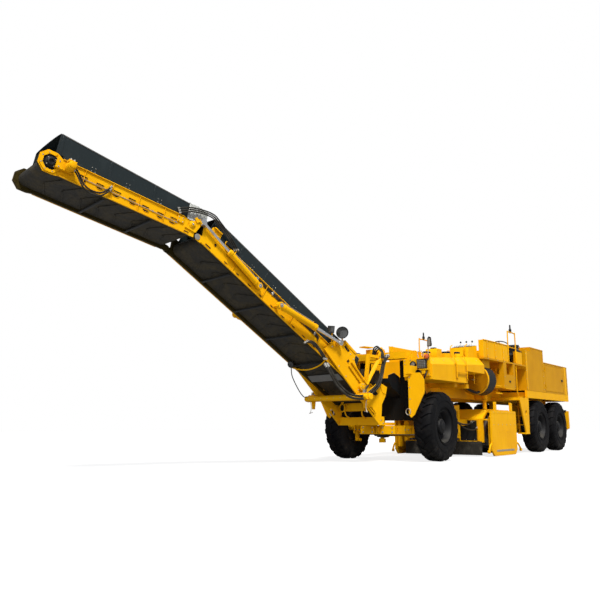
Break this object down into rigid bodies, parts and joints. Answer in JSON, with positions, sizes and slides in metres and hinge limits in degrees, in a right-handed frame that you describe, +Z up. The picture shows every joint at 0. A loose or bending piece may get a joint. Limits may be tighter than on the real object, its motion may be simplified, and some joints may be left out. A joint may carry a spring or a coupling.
{
  "type": "cold planer milling machine",
  "caption": "Wheeled cold planer with a milling drum under the frame and a long folding discharge conveyor at the front.",
  "frame": {"origin": "middle of the whole outline on the ground, with the wheels standing on z = 0", "axes": "+X forward, the way the machine travels and its discharge conveyor reaches; +Y to the machine's left; +Z up"},
  "size_m": [16.6258, 3.2976, 4.7965],
  "materials": {
    "yellow_paint": "gloss enamel, worn at edges",
    "dark_paint": "satin dark paint",
    "cover_paint": "satin greenish-black paint",
    "tyre_rubber": "matte, dusty",
    "belt_rubber": "matte, olive-brown",
    "chrome_rod": "polished",
    "worn_steel": "worn bare steel",
    "seat_vinyl": "black vinyl"
  },
  "bodies": {
    "chassis": {"main_frame": "yellow_paint", "front_axle": "yellow_paint", "rear_tandem": "yellow_paint", "nose_frame": "yellow_paint", "cross_beam": "yellow_paint", "operator_deck": "yellow_paint", "operator_rail": "yellow_paint", "control_console": "yellow_paint", "operator_seat": "seat_vinyl", "engine_hood": "yellow_paint", "engine_block": "dark_paint", "radiator": "dark_paint", "rear_bumper": "yellow_paint", "filter_drum": "yellow_paint", "primary_conveyor": "dark_paint", "left_side_tank": "yellow_paint", "right_side_tank": "yellow_paint", "left_lamp_bracket": "yellow_paint", "right_lamp_bracket": "yellow_paint", "left_handrails": "yellow_paint", "right_handrails": "yellow_paint", "left_step_bracket": "yellow_paint", "right_step_bracket": "yellow_paint", "left_lift_cylinder": "yellow_paint", "right_lift_cylinder": "yellow_paint"},
    "left_steering": {"left_knuckle": "yellow_paint"},
    "right_steering": {"right_knuckle": "yellow_paint"},
    "tie_rod": {"tie_rod": "worn_steel"},
    "slew_yoke": {"slew_frame": "yellow_paint", "loading_hopper": "belt_rubber"},
    "lower_boom": {"lower_conveyor_frame": "yellow_paint", "lower_belt": "belt_rubber", "lower_cover": "cover_paint"},
    "upper_boom": {"upper_conveyor_frame": "yellow_paint", "upper_belt": "belt_rubber", "upper_cover": "cover_paint"},
    "luff_barrels": {"left_luff_barrel": "yellow_paint", "right_luff_barrel": "yellow_paint"},
    "luff_rods": {"left_luff_rod": "chrome_rod", "right_luff_rod": "chrome_rod"},
    "fold_barrels": {"left_fold_barrel": "yellow_paint", "right_fold_barrel": "yellow_paint"},
    "fold_rods": {"left_fold_rod": "chrome_rod", "right_fold_rod": "chrome_rod"},
    "cutter": {"cutter_housing": "yellow_paint"},
    "drum": {"cutter_drum": "worn_steel"},
    "left_shield": {"left_side_shield": "yellow_paint"},
    "right_shield": {"right_side_shield": "yellow_paint"},
    "upper_links": {"left_upper_link": "yellow_paint", "right_upper_link": "yellow_paint"},
    "lower_links": {"lower_links": "yellow_paint"},
    "left_door": {"left_engine_door": "yellow_paint"},
    "right_door": {"right_engine_door": "yellow_paint"},
    "front_left_wheel": {"front_left_wheel": "tyre_rubber"},
    "front_right_wheel": {"front_right_wheel": "tyre_rubber"},
    "middle_left_wheel": {"middle_left_wheel": "tyre_rubber"},
    "middle_right_wheel": {"middle_right_wheel": "tyre_rubber"},
    "rear_left_wheel": {"rear_left_wheel": "tyre_rubber"},
    "rear_right_wheel": {"rear_right_wheel": "tyre_rubber"}
  },
  "joints": [
    {"name": "left_steer", "type": "hinge", "parent": "chassis", "child": "left_steering", "pos_m": [0.5174, 1.12075, 0.685], "axis": [0, 0, 1], "range_deg": [-25, 25]},
    {"name": "right_steer", "type": "hinge", "parent": "chassis", "child": "right_steering", "pos_m": [0.5174, -0.39725, 0.685], "axis": [0, 0, 1], "range_deg": [-25, 25]},
    {"name": "tie_rod_slide", "type": "slide", "parent": "chassis", "child": "tie_rod", "axis": [0, 1, 0], "range_m": [-0.08456, 0.08456]},
    {"name": "front_left_wheel_spin", "type": "hinge", "parent": "left_steering", "child": "front_left_wheel", "pos_m": [0.5174, 1.41075, 0.685], "axis": [0, 1, 0], "continuous": true},
    {"name": "front_right_wheel_spin", "type": "hinge", "parent": "right_steering", "child": "front_right_wheel", "pos_m": [0.5174, -0.68725, 0.685], "axis": [0, 1, 0], "continuous": true},
    {"name": "middle_left_wheel_spin", "type": "hinge", "parent": "chassis", "child": "middle_left_wheel", "pos_m": [-5.5326, 1.41075, 0.685], "axis": [0, 1, 0], "continuous": true},
    {"name": "middle_right_wheel_spin", "type": "hinge", "parent": "chassis", "child": "middle_right_wheel", "pos_m": [-5.5326, -0.68725, 0.685], "axis": [0, 1, 0], "continuous": true},
    {"name": "rear_left_wheel_spin", "type": "hinge", "parent": "chassis", "child": "rear_left_wheel", "pos_m": [-7.1966, 1.41075, 0.685], "axis": [0, 1, 0], "continuous": true},
    {"name": "rear_right_wheel_spin", "type": "hinge", "parent": "chassis", "child": "rear_right_wheel", "pos_m": [-7.1966, -0.68725, 0.685], "axis": [0, 1, 0], "continuous": true},
    {"name": "slew", "type": "hinge", "parent": "chassis", "child": "slew_yoke", "pos_m": [0.8674, 0.36175, 0.7], "axis": [0, 0, 1], "range_deg": [-8.3, 31.7]},
    {"name": "luff", "type": "hinge", "parent": "slew_yoke", "child": "lower_boom", "pos_m": [2.04246, 0.11841, 1.42], "axis": [-0.2028, -0.9792, 0], "range_deg": [-10, 5]},
    {"name": "fold", "type": "hinge", "parent": "lower_boom", "child": "upper_boom", "pos_m": [5.66024, -0.6308, 3.67842], "axis": [0.2028, 0.9792, 0], "range_deg": [0, 70]},
    {"name": "luff_barrel_tilt", "type": "hinge", "parent": "lower_boom", "child": "luff_barrels", "pos_m": [4.06991, -0.30146, 2.72995], "axis": [-0.2028, -0.9792, 0], "range_deg": [-5.37, 2.68]},
    {"name": "luff_rod_slide", "type": "slide", "parent": "luff_barrels", "child": "luff_rods", "axis": [-0.919, 0.1903, -0.3453], "range_m": [-0.05036, 0.10072]},
    {"name": "fold_barrel_tilt", "type": "hinge", "parent": "lower_boom", "child": "fold_barrels", "pos_m": [4.46385, -0.38304, 3.02983], "axis": [-0.2028, -0.9792, 0], "range_deg": [-8.6, 0]},
    {"name": "fold_rod_slide", "type": "slide", "parent": "fold_barrels", "child": "fold_rods", "axis": [0.7749, -0.1605, 0.6113], "range_m": [0, 0.18078]},
    {"name": "cutter_lift", "type": "slide", "parent": "chassis", "child": "cutter", "axis": [0, 0, -1], "range_m": [-0.2, 0.2]},
    {"name": "cutter_drum_spin", "type": "hinge", "parent": "cutter", "child": "drum", "pos_m": [-2.7026, 0.36175, 0.56], "axis": [0, 1, 0], "continuous": true},
    {"name": "left_shield_lift", "type": "slide", "parent": "cutter", "child": "left_shield", "axis": [0, 0, 1], "range_m": [0, 0.2]},
    {"name": "right_shield_lift", "type": "slide", "parent": "cutter", "child": "right_shield", "axis": [0, 0, 1], "range_m": [0, 0.2]},
    {"name": "upper_link_tilt", "type": "hinge", "parent": "chassis", "child": "upper_links", "pos_m": [-0.2826, 0.36175, 1.08], "axis": [0, -1, 0], "range_deg": [-11.24, 11.24]},
    {"name": "lower_link_tilt", "type": "hinge", "parent": "chassis", "child": "lower_links", "pos_m": [-0.2826, 0.36175, 0.5], "axis": [0, -1, 0], "range_deg": [-11.24, 11.24]},
    {"name": "left_engine_door_swing", "type": "hinge", "parent": "chassis", "child": "left_door", "pos_m": [-6.1196, 1.58475, 2], "axis": [0, 0, -1], "range_deg": [0, 100]},
    {"name": "right_engine_door_swing", "type": "hinge", "parent": "chassis", "child": "right_door", "pos_m": [-6.1196, -0.86125, 2], "axis": [0, 0, 1], "range_deg": [0, 100]}
  ],
  "couplings": [
    {"joint": "right_steer", "follows": "left_steer", "ratio": 1},
    {"joint": "tie_rod_slide", "follows": "left_steer", "m_per_rad": -0.19},
    {"joint": "luff_barrel_tilt", "follows": "luff", "ratio": 0.52626},
    {"joint": "luff_rod_slide", "follows": "luff", "m_per_rad": -0.56576},
    {"joint": "fold_barrel_tilt", "follows": "fold", "ratio": -0.12051},
    {"joint": "fold_rod_slide", "follows": "fold", "m_per_rad": 0.14507},
    {"joint": "upper_link_tilt", "follows": "cutter_lift", "rad_per_m": 0.96154},
    {"joint": "lower_link_tilt", "follows": "cutter_lift", "rad_per_m": 0.96154}
  ]
}
